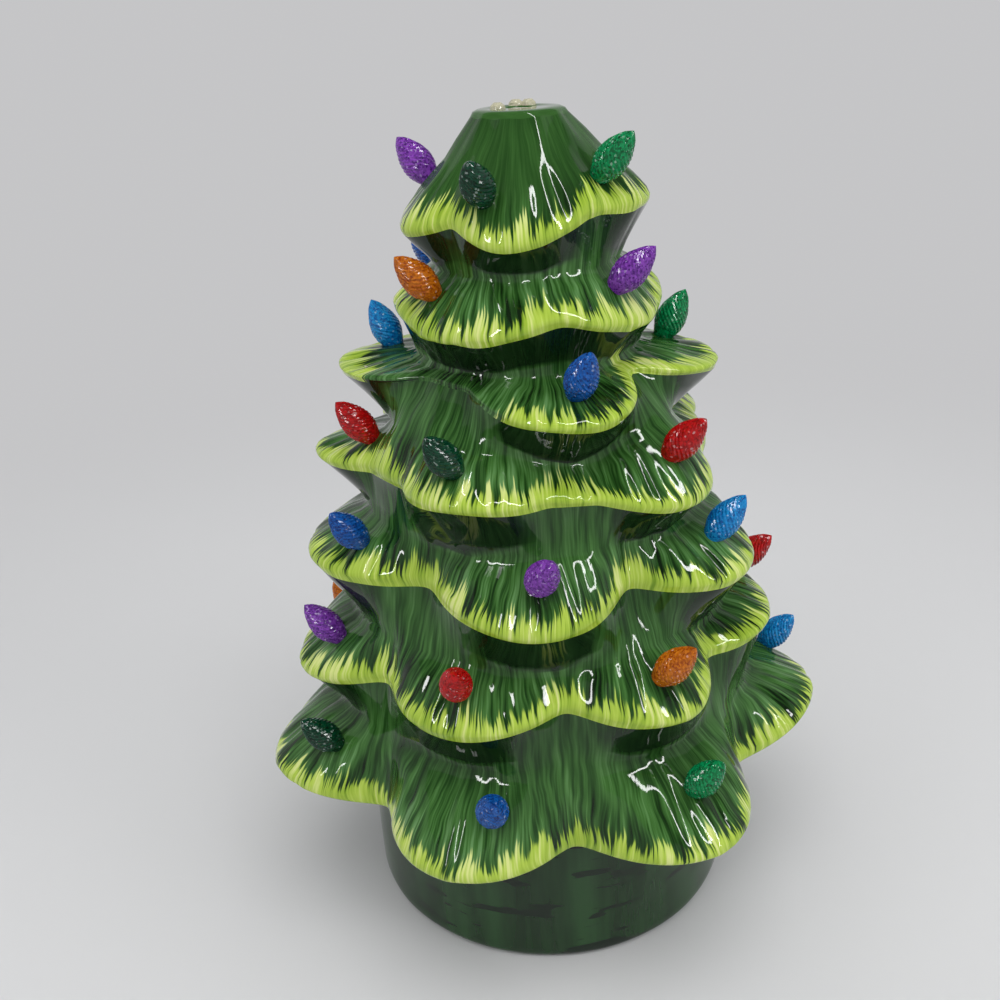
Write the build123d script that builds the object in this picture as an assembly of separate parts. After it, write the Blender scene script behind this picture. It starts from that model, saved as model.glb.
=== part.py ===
from build123d import *
import math
import os
from collections import namedtuple

# A ceramic christmas tree with plastic bulbs, on a drum that holds a battery light.
# Millimetres, +Z up. The origin is on the table under the middle of the drum.
# The front is -Y. Azimuths are degrees from the front, positive to the right.

# Tree shell, slip cast in one piece
WALL = 5.0
TOP_RADIUS = 18.5
TOP_ROUNDING = 2.5
RIM_LIP = 3.0
LIP_SHARE = 0.25
RIM_UNDERCUT = 2.0
# shoulder and brow of a bough, as shares of the way out and down from the neck above to the rim
SHOULDER_OUT, SHOULDER_DOWN = 0.36, 0.20
BROW_OUT, BROW_DOWN = 0.84, 0.68
CROWN_SHOULDER_OUT, CROWN_SHOULDER_DOWN = 0.40, 0.42
CROWN_BROW_OUT, CROWN_BROW_DOWN = 0.80, 0.74
# rounding of the valley between two boughs, as a share of a bough's half, and power of the dip
VALLEY_ROUNDING = 0.15
DIP_POWER = 3
# the cavity at a neck, in walls inside the skin and below the neck
NECK_INSET, NECK_DROP = 1.3, 0.3
# the cavity at a rim: sharpest mitre, and least height from the necks as a share of the tier's rise
MITRE_LIMIT = 0.6
HOLLOW_MARGIN = 0.2
RING_POINTS = 72
STAR_BORE_RADIUS = 5.0

# Dried glue around the star's hole
GLUE_RADIUS = 3.0
GLUE_HEIGHT = 2.2
GLUE_AZIMUTHS = (-75, 150, 185)
# radius and height up a lump, as shares of its own
GLUE_SHAPE = ((1.0, 0.0), (0.9, 0.5), (0.5, 1.0))

# Bulbs, each a peg, a collar and a flame
PEG_RADIUS = 2.5
PEG_LENGTH = 8.0
COLLAR_RADIUS = 3.6
COLLAR_LENGTH = 3.0
SEAT_DEPTH = 1.6
HOLE_SPARE = 2.0
FLAME_LENGTH = 19.4
FLAME_RADIUS = 6.5
# height up the flame and radius there, as shares of its length and of its widest radius
FLAME_SHAPE = ((0.0, 0.58), (0.12, 0.86), (0.32, 1.0), (0.56, 0.86), (0.80, 0.52), (0.94, 0.24))
# a bulb's angle from level, and how far it leans from there to square on the skin
BULB_ELEVATION = 50.0
BULB_LEAN = 0.5
# place of a bulb's seat, as a share of the way from the shoulder to the brow
BULB_SHARE = 0.25
CROWN_BULB_SHARE = 0.75

# Drum, and the tree's foot that stands on its deck
DRUM_RADIUS = 85.0
FOOT_LEDGE = 5.0
FOOT_RADIUS = DRUM_RADIUS - FOOT_LEDGE
DRUM_WALL = 6.0
DRUM_ROUNDING = 2.5
DECK_TOP = 72.0
DECK_THICKNESS = 7.0
LOCATOR_HEIGHT = 8.0
LOCATOR_WIDTH = 6.0
LOCATOR_CHAMFER = 1.8
DECK_HOLE_RADIUS = 24.0
FELT_THICKNESS = 1.2
FELT_INSET = 0.3
# most that a rounding or chamfer takes of a wall that has one on both sides
ROUNDING_LIMIT = 0.45

# Clearances, and how far a cutter reaches past the face that it opens
SLIP = 1.0
FIT = 0.3
CLOSE = 0.15
PAST = 1.0

# Light unit: neck and ring nut
NECK_WALL = 3.0
NECK_RISE = 14.0
FLANGE_RADIUS = 34.0
FLANGE_THICKNESS = 3.0
NUT_RADIUS = 33.0
NUT_HEIGHT = 7.0
NUT_GRIPS = 12
NUT_GRIP_RADIUS = 2.5
NUT_GRIP_DEPTH = 1.75

# Light unit: battery box under the deck
CELL_RADIUS = 7.25
CELL_LENGTH = 50.5
CELL_CHAMFER = 0.6
NUB_RADIUS = 2.75
NUB_LENGTH = 1.5
CELLS = 3
CELL_GAP = 0.7
CONTACT_SPACE = 3.75
CONTACT_PLATE = 0.5
CONTACT_HEIGHT = 11.0
CONTACT_WIDTH = 12.0
STUD_FOOT_RADIUS = 4.0
STUD_TIP_RADIUS = 2.2
BOX_WALL = 3.6
BOX_ROUNDING = 2.9
BOX_ROOF = 2.0
DIVIDER = 2.4
SWITCH_BAY = 15.0
DOOR_THICKNESS = 2.0
DOOR_GROOVE = 1.8
DOOR_RIBS = 4
RIB_LENGTH = 23.0
RIB_WIDTH = 2.0
RIB_HEIGHT = 1.0
RIB_PITCH = 4.0
SILL = 2.4

# Light unit: board, switch, cover
COVER_THICKNESS = 2.0
COVER_LEDGE = 1.8
BOARD_THICKNESS = 1.6
STANDOFF_RADIUS = 2.0
STANDOFF_SPACING = 28.0
STANDOFF_LENGTH = 3.0
SWITCH_LENGTH = 14.0
SWITCH_WIDTH = 7.0
SWITCH_WALL = 1.2
KNOB_LENGTH = 4.0
KNOB_WIDTH = 3.0
KNOB_TRAVEL = 2.0
KNOB_PROUD = 2.0
KNOB_CHAMFER = 0.8
SCREW_RADIUS = 1.1
SCREW_HEAD_RADIUS = 2.2
SCREW_HEAD_HEIGHT = 1.2
SCREW_SPACING = 48.0
SCREW_TIP_GAP = 1.0
PILOT_ROOF = 1.0
BOSS_RADIUS = 3.0

# Light unit: post and lamp
POST_RADIUS = 8.0
POST_WALL = 2.0
POST_HEIGHT = 62.0
POST_FLANGE_RADIUS = 13.0
POST_FLANGE_THICKNESS = 2.5
POST_FLANGE_CHAMFER = 1.0
LAMP_BOARD_RADIUS = 17.0
DIFFUSER_WALL = 1.6
DIFFUSER_SKIRT = 6.0
DIFFUSER_HEIGHT = 24.0
DIFFUSER_CROWN = 8.0
DIFFUSER_LEDGE = 1.5
LED_RADIUS = 2.5
LED_HEIGHT = 5.5
LED_RIM_RADIUS = 3.0
LED_RIM_HEIGHT = 1.1
LED_TIP_RADIUS = 1.25
LED_TIP_LENGTH = 1.25
LED_MARGIN = 2.5
LED_COUNT = 4
WIRE_RADIUS = 0.8
WIRE_SPACING = 5.0
WIRE_HOLE_RADIUS = 4.0
WIRE_BEND = 6.0

# One tier of boughs, and one bough.
# rise: from the neck under the tier to the neck above it
# rim, valley: radius of the rim at a tip, and between two boughs
# rim_up, valley_up: height of the rim over the neck under the tier, at those two places
# neck, cove: radius of the neck under a tip, and between two boughs
# dip: how much lower the neck is under a tip
# spread: half the angle that a bough takes at most
Tier = namedtuple("Tier", "rise rim valley rim_up valley_up neck cove dip spread boughs")
# azimuth of the tip, how much further it reaches and higher it lifts than the tier's rim,
# its bulb's azimuth from the tip, the bulb's swing from straight out, the bulb's colour
Bough = namedtuple("Bough", "azimuth reach lift bulb swing colour")

# From the bottom up
TIERS = (
    Tier(38, 127, 101, 10, 6, FOOT_RADIUS, FOOT_RADIUS, 0, 34, (
        Bough(-69, 3, 1, 10, -10, "dark_green"),
        Bough(-21, -2, -5, 7, 15, "blue"),
        Bough(28, 4, -1, 1, 30, "green"),
        Bough(78, -3, 11, 12, -24, "light_blue"),
        Bough(136, 0, 3, 4, 0, "red"),
        Bough(187, 0, 3, -5, 0, "purple"),
        Bough(237, 0, 3, 3, 0, "orange"))),
    Tier(43, 107, 89, 21, 25, 92, 94, 2, 32, (
        Bough(-75, 5, -6, 6, -17, "purple"),
        Bough(-22, -3, -1, -1, 20, "red"),
        Bough(28, 1, 0, -2, 38, "orange"),
        Bough(68, -4, 9, 21, -18, "red"),
        Bough(130, 0, 3, 2, 0, "blue"),
        Bough(183, 0, 2, -4, 0, "green"),
        Bough(235, 0, 0, 5, 0, "red"))),
    Tier(42, 98, 74, 17, 22, 81, 86, 5, 40, (
        Bough(-75, 3, 7, 14, 7, "blue"),
        Bough(-2, -3, 0, -1, 30, "purple"),
        Bough(54, 1, 3, 0, 35, "light_blue"),
        Bough(128, 0, 2, 5, 0, "orange"),
        Bough(204, 0, 3, -3, 0, "red"))),
    Tier(40, 87, 73, 15, 18, 71, 73, 2, 26, (
        Bough(-92, 7, 3, 18, 0, "red"),
        Bough(-23, 0, 8, -2, -25, "dark_green"),
        Bough(41, 2, -1, 0, 22, "red"),
        Bough(126, 0, 1, 4, 0, "purple"),
        Bough(177, 0, 1, -3, 0, "light_blue"),
        Bough(223, 0, 2, 2, 0, "green"))),
    Tier(22, 74, 50, 11, 18, 56, 67, 10, 47, (
        Bough(-99, 7, 4, -9, 5, "light_blue"),
        Bough(14, 2, -2, 0, 18, "blue"),
        Bough(86, 4, 0, 15, -8, "green"),
        Bough(176, 0, 2, -4, 0, "orange"))),
    Tier(36, 55, 54, 12, 20, 43, 45, 0, 45, (
        Bough(-34, 1, 2, -19, -15, "orange"),
        Bough(56, -1, 1, -10, 35, "purple"),
        Bough(146, 0, 1, 5, 0, "red"),
        Bough(236, 0, 1, -5, 0, "blue"))),
    Tier(57, 47.5, 42, 13, 19, 37, 38, 0, 45, (
        Bough(-72, 2, 1, -30, -20, "purple"),
        Bough(-11, 0, -2, -13, 5, "dark_green"),
        Bough(85, 2, 7, -34, 5, "green"),
        Bough(180, 0, 3, 0, 0, "red"))),
)
CROWN = len(TIERS) - 1

# Heights and places that follow from the sizes above
FOOT_Z = DECK_TOP
CREST_Z = FOOT_Z + sum(tier.rise for tier in TIERS)
DECK_UNDER = DECK_TOP - DECK_THICKNESS
DRUM_BORE = DRUM_RADIUS - DRUM_WALL
DRUM_EDGE = min(DRUM_ROUNDING, ROUNDING_LIMIT * DRUM_WALL)
LOCATOR_RADIUS = FOOT_RADIUS - WALL - SLIP
LOCATOR_TOP = DECK_TOP + LOCATOR_HEIGHT
NECK_RADIUS = DECK_HOLE_RADIUS - FIT
NECK_BORE = NECK_RADIUS - NECK_WALL
NECK_TOP = DECK_TOP + NECK_RISE
FLANGE_UNDER = DECK_UNDER - FLANGE_THICKNESS
BAY_TOP = FLANGE_UNDER - BOX_ROOF
CELL_PITCH = 2 * CELL_RADIUS + CELL_GAP
CELL_Z = BAY_TOP - FIT - CELL_RADIUS
DOOR_TOP = CELL_Z - CELL_RADIUS - FIT
DOOR_UNDER = DOOR_TOP - DOOR_THICKNESS
BOX_UNDER = DOOR_UNDER - SILL
BAY_LENGTH = CELL_LENGTH + 2 * CONTACT_SPACE
BAY_WIDTH = CELLS * CELL_PITCH + 2 * FIT
WIRE_Y = NECK_BORE - WIRE_HOLE_RADIUS - FIT
SWITCH_BAY_FRONT = WIRE_Y - SWITCH_BAY / 2
BAY_BACK = SWITCH_BAY_FRONT - DIVIDER
BAY_FRONT = BAY_BACK - BAY_WIDTH
BAY_Y = (BAY_FRONT + BAY_BACK) / 2
BOX_LENGTH = BAY_LENGTH + 2 * BOX_WALL
BOX_FRONT = BAY_FRONT - BOX_WALL
SWITCH_BAY_BACK = WIRE_Y + SWITCH_BAY / 2
BOX_BACK = SWITCH_BAY_BACK + BOX_WALL
COVER_TOP = BOX_UNDER + COVER_THICKNESS
BOARD_LENGTH = SCREW_SPACING - 2 * (BOSS_RADIUS + SLIP)
BOARD_TOP = BAY_TOP - STANDOFF_LENGTH
BOARD_UNDER = BOARD_TOP - BOARD_THICKNESS
SWITCH_UNDER = COVER_TOP + FIT
KNOB_UNDER = BOX_UNDER - KNOB_PROUD
LAMP_Z = NECK_TOP + POST_FLANGE_THICKNESS + POST_HEIGHT
LAMP_TOP = LAMP_Z + BOARD_THICKNESS
DIFFUSER_BORE = LAMP_BOARD_RADIUS + FIT
LED_CIRCLE = LAMP_BOARD_RADIUS - DIFFUSER_LEDGE - LED_MARGIN - LED_RIM_RADIUS


def mix(start, end, share):
    return start + (end - start) * share


def polar(radius, azimuth, height):
    turn = math.radians(azimuth)
    return Vector(radius * math.sin(turn), -radius * math.cos(turn), height)


def rounded(share):
    """Share from 0 to 1 that starts level at 0."""
    start = VALLEY_ROUNDING
    return (math.hypot(share, VALLEY_ROUNDING) - start) / (math.hypot(1, VALLEY_ROUNDING) - start)


def bough_share(tier, azimuth):
    """Share of the nearest bough (1 at its tip, 0 in the valley), with reach and lift there."""
    boughs = tier.boughs
    first = boughs[0].azimuth
    turn = (azimuth - first) % 360
    for i, bough in enumerate(boughs):
        after = boughs[(i + 1) % len(boughs)]
        start = bough.azimuth - first
        gap = (after.azimuth - bough.azimuth) % 360
        if start <= turn < start + gap:
            along = (turn - start) / gap
            away = min(along, 1 - along) * gap / min(gap / 2, tier.spread)
            ease = along * along * (3 - 2 * along)
            share = 1 - (1 - rounded(1 - min(away, 1))) ** 2
            return share, mix(bough.reach, after.reach, ease), mix(bough.lift, after.lift, ease)


def floor_of(level):
    """Height of the neck under a tier, without its dips."""
    return FOOT_Z + sum(lower.rise for lower in TIERS[:level])


def neck(level, azimuth):
    """Radius and height of the neck under a tier, or of the top plate's edge above the last."""
    if level > CROWN:
        return TOP_RADIUS, CREST_Z - TOP_ROUNDING
    tier = TIERS[level]
    share, _, _ = bough_share(tier, azimuth)
    height = floor_of(level) - tier.dip * share ** DIP_POWER
    return mix(tier.cove, tier.neck, share), height


def rim(level, azimuth):
    """Radius and height of a tier's rim, at its lower edge."""
    tier = TIERS[level]
    share, reach, lift = bough_share(tier, azimuth)
    radius = mix(tier.valley, tier.rim + reach, share)
    up = mix(tier.valley_up + lift / 2, tier.rim_up + lift, share)
    return radius, floor_of(level) + up


def skin(level, azimuth):
    """Outer profile of a tier from the neck above it to the neck under it."""
    top_r, top_z = neck(level + 1, azimuth)
    rim_r, rim_z = rim(level, azimuth)
    lip_z = rim_z + min(RIM_LIP, LIP_SHARE * (top_z - rim_z))
    out = (SHOULDER_OUT, BROW_OUT)
    down = (SHOULDER_DOWN, BROW_DOWN)
    if level == CROWN:
        out = (CROWN_SHOULDER_OUT, CROWN_BROW_OUT)
        down = (CROWN_SHOULDER_DOWN, CROWN_BROW_DOWN)
    shoulder = (mix(top_r, rim_r, out[0]), mix(top_z, lip_z, down[0]))
    brow = (mix(top_r, rim_r, out[1]), mix(top_z, lip_z, down[1]))
    return [(top_r, top_z), shoulder, brow, (rim_r, lip_z), (rim_r - RIM_UNDERCUT, rim_z),
            neck(level, azimuth)]


def outward(start, end):
    """Unit normal of a falling profile line, on the outer side."""
    length = math.hypot(end[0] - start[0], end[1] - start[1])
    return (start[1] - end[1]) / length, (end[0] - start[0]) / length


def hollow(level, azimuth):
    """Inner profile of a tier: the cavity at its rim, one wall inside the skin."""
    above, below = neck(level + 1, azimuth), neck(level, azimuth)
    rim_r, rim_z = rim(level, azimuth)
    edge = (rim_r, min(rim_z + RIM_LIP / 2, above[1] - SLIP))
    upper, lower = outward(above, edge), outward(edge, below)
    spread = max(MITRE_LIMIT, 1 + upper[0] * lower[0] + upper[1] * lower[1])
    radius = edge[0] - WALL * (upper[0] + lower[0]) / spread
    height = edge[1] - WALL * (upper[1] + lower[1]) / spread
    margin = HOLLOW_MARGIN * TIERS[level].rise
    return radius, min(max(height, below[1] + margin), above[1] - margin)


def neck_hollow(level, azimuth):
    """The cavity at a neck."""
    radius, height = neck(level, azimuth)
    return radius - NECK_INSET * WALL, height - NECK_DROP * WALL


def ring(place):
    """Closed smooth wire through one point for each azimuth, where place gives radius and height."""
    azimuths = [360 * i / RING_POINTS for i in range(RING_POINTS)]
    points = [polar(place(a)[0], a, place(a)[1]) for a in azimuths]
    knots = [i / RING_POINTS for i in range(RING_POINTS + 1)]
    return Wire(Edge.make_spline(points, periodic=True, parameters=knots))


def circle(radius, height):
    return ring(lambda azimuth: (radius, height))


def revolved(points):
    """Solid of revolution about Z from a closed outline of radius and height."""
    return revolve(Plane.XZ * make_face(Polyline(*points, close=True)), Axis.Z)


def block(x, y, z):
    """Box between two limits on each axis."""
    size = (x[1] - x[0], y[1] - y[0], z[1] - z[0])
    middle = ((x[0] + x[1]) / 2, (y[0] + y[1]) / 2, (z[0] + z[1]) / 2)
    return Pos(*middle) * Box(*size)


def rod(radius, z, x=0.0, y=0.0):
    """Upright cylinder between two heights."""
    return Pos(x, y, (z[0] + z[1]) / 2) * Cylinder(radius, z[1] - z[0])


# Tree shell


def bulb_seat(level, bough):
    """Plane of a bulb's seat: its middle on the shoulder of the bough, its normal along the bulb."""
    azimuth = bough.azimuth + bough.bulb
    share = CROWN_BULB_SHARE if level == CROWN else BULB_SHARE
    profile = skin(level, azimuth)
    radius = mix(profile[1][0], profile[2][0], share)
    height = mix(profile[1][1], profile[2][1], share)
    level_out, up = outward(profile[1], profile[2])
    elevation = mix(BULB_ELEVATION, math.degrees(math.atan2(up, level_out)), BULB_LEAN)
    out = polar(1, azimuth + bough.swing, math.tan(math.radians(elevation))).normalized()
    return Plane(polar(radius, azimuth, height) - out * SEAT_DEPTH, z_dir=out)


def make_tree_shell():
    rings = []
    for level in range(len(TIERS)):
        for corner in range(len(skin(level, 0)) - 1, 0, -1):
            rings.append(ring(lambda a, n=level, c=corner: skin(n, a)[c]))
    rings.append(circle(TOP_RADIUS, CREST_Z - TOP_ROUNDING))
    rings.append(circle(TOP_RADIUS - TOP_ROUNDING, CREST_Z))
    body = Solid.make_loft(rings, ruled=True)

    foot = FOOT_RADIUS - WALL
    inside = [circle(foot, FOOT_Z - PAST), circle(foot, FOOT_Z + PAST)]
    for level in range(len(TIERS)):
        inside.append(ring(lambda a, n=level: hollow(n, a)))
        if level < CROWN:
            inside.append(ring(lambda a, n=level: neck_hollow(n + 1, a)))
    inside.append(circle(max(TOP_RADIUS - WALL, STAR_BORE_RADIUS + SLIP), CREST_Z - WALL))
    body = body - Solid.make_loft(inside, ruled=True)

    hole = rod(PEG_RADIUS + CLOSE, (-PEG_LENGTH - HOLE_SPARE, 0))
    seat = rod(COLLAR_RADIUS + FIT, (0, COLLAR_LENGTH + SEAT_DEPTH))
    drill = hole + seat
    tools = [rod(STAR_BORE_RADIUS, (CREST_Z - WALL - PAST, CREST_Z + PAST))]
    for level, tier in enumerate(TIERS):
        tools.extend(bulb_seat(level, bough).location * drill for bough in tier.boughs)
    return body - tools


def make_topper_glue():
    """Small lumps of dried glue around the star's hole."""
    edge = [(out * GLUE_RADIUS, up * GLUE_HEIGHT) for out, up in GLUE_SHAPE]
    lump = revolved([(0, 0), *edge, (0, GLUE_HEIGHT)])
    reach = STAR_BORE_RADIUS + GLUE_RADIUS + FIT
    lumps = [Pos(*polar(reach, azimuth, CREST_Z)) * lump for azimuth in GLUE_AZIMUTHS]
    return Compound(children=[part.solid() for part in lumps])


# Bulbs


def make_bulb():
    """Bulb on the origin: peg below, collar and flame above, turned from one outline."""
    outline = [(0, -PEG_LENGTH), (PEG_RADIUS, -PEG_LENGTH), (PEG_RADIUS, 0), (COLLAR_RADIUS, 0)]
    for up, out in FLAME_SHAPE:
        outline.append((out * FLAME_RADIUS, COLLAR_LENGTH + up * FLAME_LENGTH))
    outline.append((0, COLLAR_LENGTH + FLAME_LENGTH))
    return revolved(outline)


# Drum and felt


def make_drum():
    """Wall and deck turned from one outline, with a low ring that keeps the tree in place."""
    under = FELT_THICKNESS
    locator_bore = LOCATOR_RADIUS - LOCATOR_WIDTH
    wall = make_face(Polyline(
        (DRUM_BORE, under), (DRUM_RADIUS, under), (DRUM_RADIUS, DECK_TOP), (LOCATOR_RADIUS, DECK_TOP),
        (LOCATOR_RADIUS, LOCATOR_TOP), (locator_bore, LOCATOR_TOP), (locator_bore, DECK_TOP),
        (DECK_HOLE_RADIUS, DECK_TOP), (DECK_HOLE_RADIUS, DECK_UNDER), (DRUM_BORE, DECK_UNDER),
        close=True))
    wall = fillet(wall.vertices().group_by(Axis.X)[-1], DRUM_EDGE)
    lips = wall.vertices().group_by(Axis.Y)[-1]
    wall = chamfer(lips, min(LOCATOR_CHAMFER, ROUNDING_LIMIT * LOCATOR_WIDTH))
    return revolve(Plane.XZ * wall, Axis.Z)


def make_felt():
    """Ring under the flat foot of the drum's wall."""
    outer = DRUM_RADIUS - DRUM_EDGE - FELT_INSET
    bore = rod(DRUM_BORE + FELT_INSET, (-PAST, FELT_THICKNESS + PAST))
    return rod(outer, (0, FELT_THICKNESS)) - bore


# Light unit


def make_housing():
    """Battery box, flange under the deck and neck through the deck's hole, moulded as one."""
    body = block((-BOX_LENGTH / 2, BOX_LENGTH / 2), (BOX_FRONT, BOX_BACK), (BOX_UNDER, FLANGE_UNDER))
    upright = body.edges().filter_by(Axis.Z)
    body = fillet(upright, min(BOX_ROUNDING, BOX_WALL))
    body += rod(FLANGE_RADIUS, (FLANGE_UNDER, DECK_UNDER)) + rod(NECK_RADIUS, (DECK_UNDER, NECK_TOP))
    half = BAY_LENGTH / 2
    low = BOX_UNDER - PAST
    battery_bay = block((-half, half), (BAY_FRONT, BAY_BACK), (low, BAY_TOP))
    switch_bay = block((-half, half), (SWITCH_BAY_FRONT, SWITCH_BAY_BACK), (COVER_TOP, BAY_TOP))
    ledge_half = half + COVER_LEDGE
    cover_recess = block((-ledge_half, ledge_half), (SWITCH_BAY_FRONT, SWITCH_BAY_BACK + COVER_LEDGE),
                         (low, COVER_TOP))
    slot_half = half + DOOR_GROOVE
    door_slot = block((-slot_half, slot_half), (BOX_FRONT - PAST, BAY_BACK),
                      (DOOR_UNDER - CLOSE, DOOR_TOP + CLOSE))
    mouth = block((-half, half), (BOX_FRONT - PAST, BAY_FRONT), (low, DOOR_TOP))
    body -= [battery_bay, switch_bay, cover_recess, door_slot, mouth,
             rod(NECK_BORE, (DECK_UNDER, NECK_TOP - NECK_WALL)),
             rod(POST_RADIUS + CLOSE, (DECK_UNDER, NECK_TOP + PAST)),
             rod(WIRE_HOLE_RADIUS, (BAY_TOP - PAST, DECK_UNDER + PAST), y=WIRE_Y)]
    for side in (-1, 1):
        body += rod(STANDOFF_RADIUS, (BOARD_TOP, BAY_TOP), side * STANDOFF_SPACING / 2, WIRE_Y)
        screw_x = side * SCREW_SPACING / 2
        boss = rod(BOSS_RADIUS, (COVER_TOP, BAY_TOP), screw_x, WIRE_Y)
        pilot = rod(SCREW_RADIUS + CLOSE, (COVER_TOP - PAST, BAY_TOP - PILOT_ROOF), screw_x, WIRE_Y)
        body = body + boss - pilot
    return body


def make_retaining_ring():
    """Ring nut with finger grips, on the neck above the deck."""
    top = DECK_TOP + NUT_HEIGHT
    past = (DECK_TOP - PAST, top + PAST)
    nut = rod(NUT_RADIUS, (DECK_TOP, top)) - rod(NECK_RADIUS + CLOSE, past)
    grip = rod(NUT_GRIP_RADIUS, past, x=NUT_RADIUS + NUT_GRIP_RADIUS - NUT_GRIP_DEPTH)
    return nut - [Rot(0, 0, 360 * i / NUT_GRIPS) * grip for i in range(NUT_GRIPS)]


def make_led_post():
    """Tube on the neck's cap, with a flange that rests on it."""
    bore = POST_RADIUS - POST_WALL
    foot = NECK_TOP - NECK_WALL
    flange_top = NECK_TOP + POST_FLANGE_THICKNESS
    return revolved([(bore, foot), (POST_RADIUS, foot), (POST_RADIUS, NECK_TOP),
                     (POST_FLANGE_RADIUS, NECK_TOP),
                     (POST_FLANGE_RADIUS, flange_top - POST_FLANGE_CHAMFER),
                     (POST_FLANGE_RADIUS - POST_FLANGE_CHAMFER, flange_top), (POST_RADIUS, flange_top),
                     (POST_RADIUS, LAMP_Z), (bore, LAMP_Z)])


def make_led_board():
    return rod(LAMP_BOARD_RADIUS, (LAMP_Z, LAMP_TOP))


def make_leds():
    """One lamp in the middle of the board and a circle of them round it."""
    lamp = revolved([(0, 0), (LED_RIM_RADIUS, 0), (LED_RIM_RADIUS, LED_RIM_HEIGHT),
                     (LED_RADIUS, LED_RIM_HEIGHT), (LED_RADIUS, LED_HEIGHT - LED_TIP_LENGTH),
                     (LED_TIP_RADIUS, LED_HEIGHT), (0, LED_HEIGHT)])
    places = [Pos(0, 0, LAMP_TOP)]
    for i in range(LED_COUNT):
        places.append(Rot(0, 0, 360 * i / LED_COUNT) * Pos(LED_CIRCLE, 0, LAMP_TOP))
    return Compound(children=[(place * lamp).solid() for place in places])


def make_diffuser():
    """Frosted cap over the lamps: its skirt goes round the board and its ledge rests on it."""
    bore = DIFFUSER_BORE
    outer = bore + DIFFUSER_WALL
    skirt = LAMP_Z - DIFFUSER_SKIRT
    ledge = LAMP_TOP + DIFFUSER_LEDGE
    ledge_bore = LAMP_BOARD_RADIUS - DIFFUSER_LEDGE
    shoulder = LAMP_TOP + DIFFUSER_HEIGHT
    crown = shoulder + DIFFUSER_CROWN
    return revolved([(bore, skirt), (outer, skirt), (outer, shoulder),
                     (outer - DIFFUSER_CROWN, crown), (0, crown), (0, crown - DIFFUSER_WALL),
                     (bore - DIFFUSER_CROWN, crown - DIFFUSER_WALL), (bore, shoulder - DIFFUSER_WALL),
                     (bore, ledge), (ledge_bore, ledge), (ledge_bore, LAMP_TOP), (bore, LAMP_TOP)])


def make_led_wires():
    """Two wires from the circuit board, up the neck and the post, to the lamp board."""
    wires = []
    low, high = DECK_UNDER + NECK_WALL, NECK_TOP - NECK_WALL
    for side in (-1, 1):
        x = side * WIRE_SPACING / 2
        route = FilletPolyline((x, WIRE_Y, BOARD_TOP), (x, WIRE_Y, low), (x, 0, high), (x, 0, LAMP_Z),
                               radius=WIRE_BEND)
        section = Plane(route @ 0, z_dir=route % 0) * Circle(WIRE_RADIUS)
        wires.append(sweep(section, path=route).solid())
    return Compound(children=wires)


def make_circuit_board():
    width = SWITCH_BAY - 2 * FIT
    half = BOARD_LENGTH / 2
    return block((-half, half), (WIRE_Y - width / 2, WIRE_Y + width / 2), (BOARD_UNDER, BOARD_TOP))


def make_switch_body():
    """Case soldered under the board, open below where the slider runs."""
    y = (WIRE_Y - SWITCH_WIDTH / 2, WIRE_Y + SWITCH_WIDTH / 2)
    case = block((-SWITCH_LENGTH / 2, SWITCH_LENGTH / 2), y, (SWITCH_UNDER, BOARD_UNDER))
    run = KNOB_LENGTH / 2 + KNOB_TRAVEL + FIT
    across = KNOB_WIDTH / 2 + FIT
    slot = block((-run, run), (WIRE_Y - across, WIRE_Y + across),
                 (SWITCH_UNDER - PAST, BOARD_UNDER - SWITCH_WALL))
    return case - slot


def make_switch_slider():
    """Knob that reaches from the switch through the cover, with a bevelled end."""
    half, across = KNOB_LENGTH / 2, KNOB_WIDTH / 2
    top = BOARD_UNDER - SWITCH_WALL - CLOSE
    knob = block((-half, half), (WIRE_Y - across, WIRE_Y + across), (KNOB_UNDER, top))
    ends = knob.edges().group_by(Axis.Z)[0].filter_by(Axis.Y)
    return chamfer(ends, KNOB_CHAMFER)


def make_electronics_cover():
    half = BAY_LENGTH / 2 + COVER_LEDGE - FIT
    back = SWITCH_BAY_BACK + COVER_LEDGE - FIT
    plate = block((-half, half), (SWITCH_BAY_FRONT + FIT, back), (BOX_UNDER, COVER_TOP))
    past = (BOX_UNDER - PAST, COVER_TOP + PAST)
    run = KNOB_LENGTH / 2 + KNOB_TRAVEL + FIT
    across = KNOB_WIDTH / 2 + FIT
    slot = block((-run, run), (WIRE_Y - across, WIRE_Y + across), past)
    holes = [rod(SCREW_RADIUS + CLOSE, past, side * SCREW_SPACING / 2, WIRE_Y) for side in (-1, 1)]
    return plate - [slot, *holes]


def make_cover_screws():
    screws = []
    for side in (-1, 1):
        x = side * SCREW_SPACING / 2
        head = rod(SCREW_HEAD_RADIUS, (BOX_UNDER - SCREW_HEAD_HEIGHT, BOX_UNDER), x, WIRE_Y)
        shank = rod(SCREW_RADIUS, (BOX_UNDER, BAY_TOP - PILOT_ROOF - SCREW_TIP_GAP), x, WIRE_Y)
        screws.append((head + shank).solid())
    return Compound(children=screws)


def cell_y(number):
    return BAY_Y + (number - (CELLS - 1) / 2) * CELL_PITCH


def make_cell(number):
    """Battery cell along X. Cells lie in turn with their nub at one end and at the other."""
    body = CELL_LENGTH - NUB_LENGTH
    can = chamfer(Cylinder(CELL_RADIUS, body).edges(), CELL_CHAMFER)
    cell = can + rod(NUB_RADIUS, (body / 2, body / 2 + NUB_LENGTH))
    turn = 90 if number % 2 == 0 else -90
    return Pos(0, cell_y(number), CELL_Z) * Rot(0, turn, 0) * Pos(0, 0, -NUB_LENGTH / 2) * cell


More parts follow.
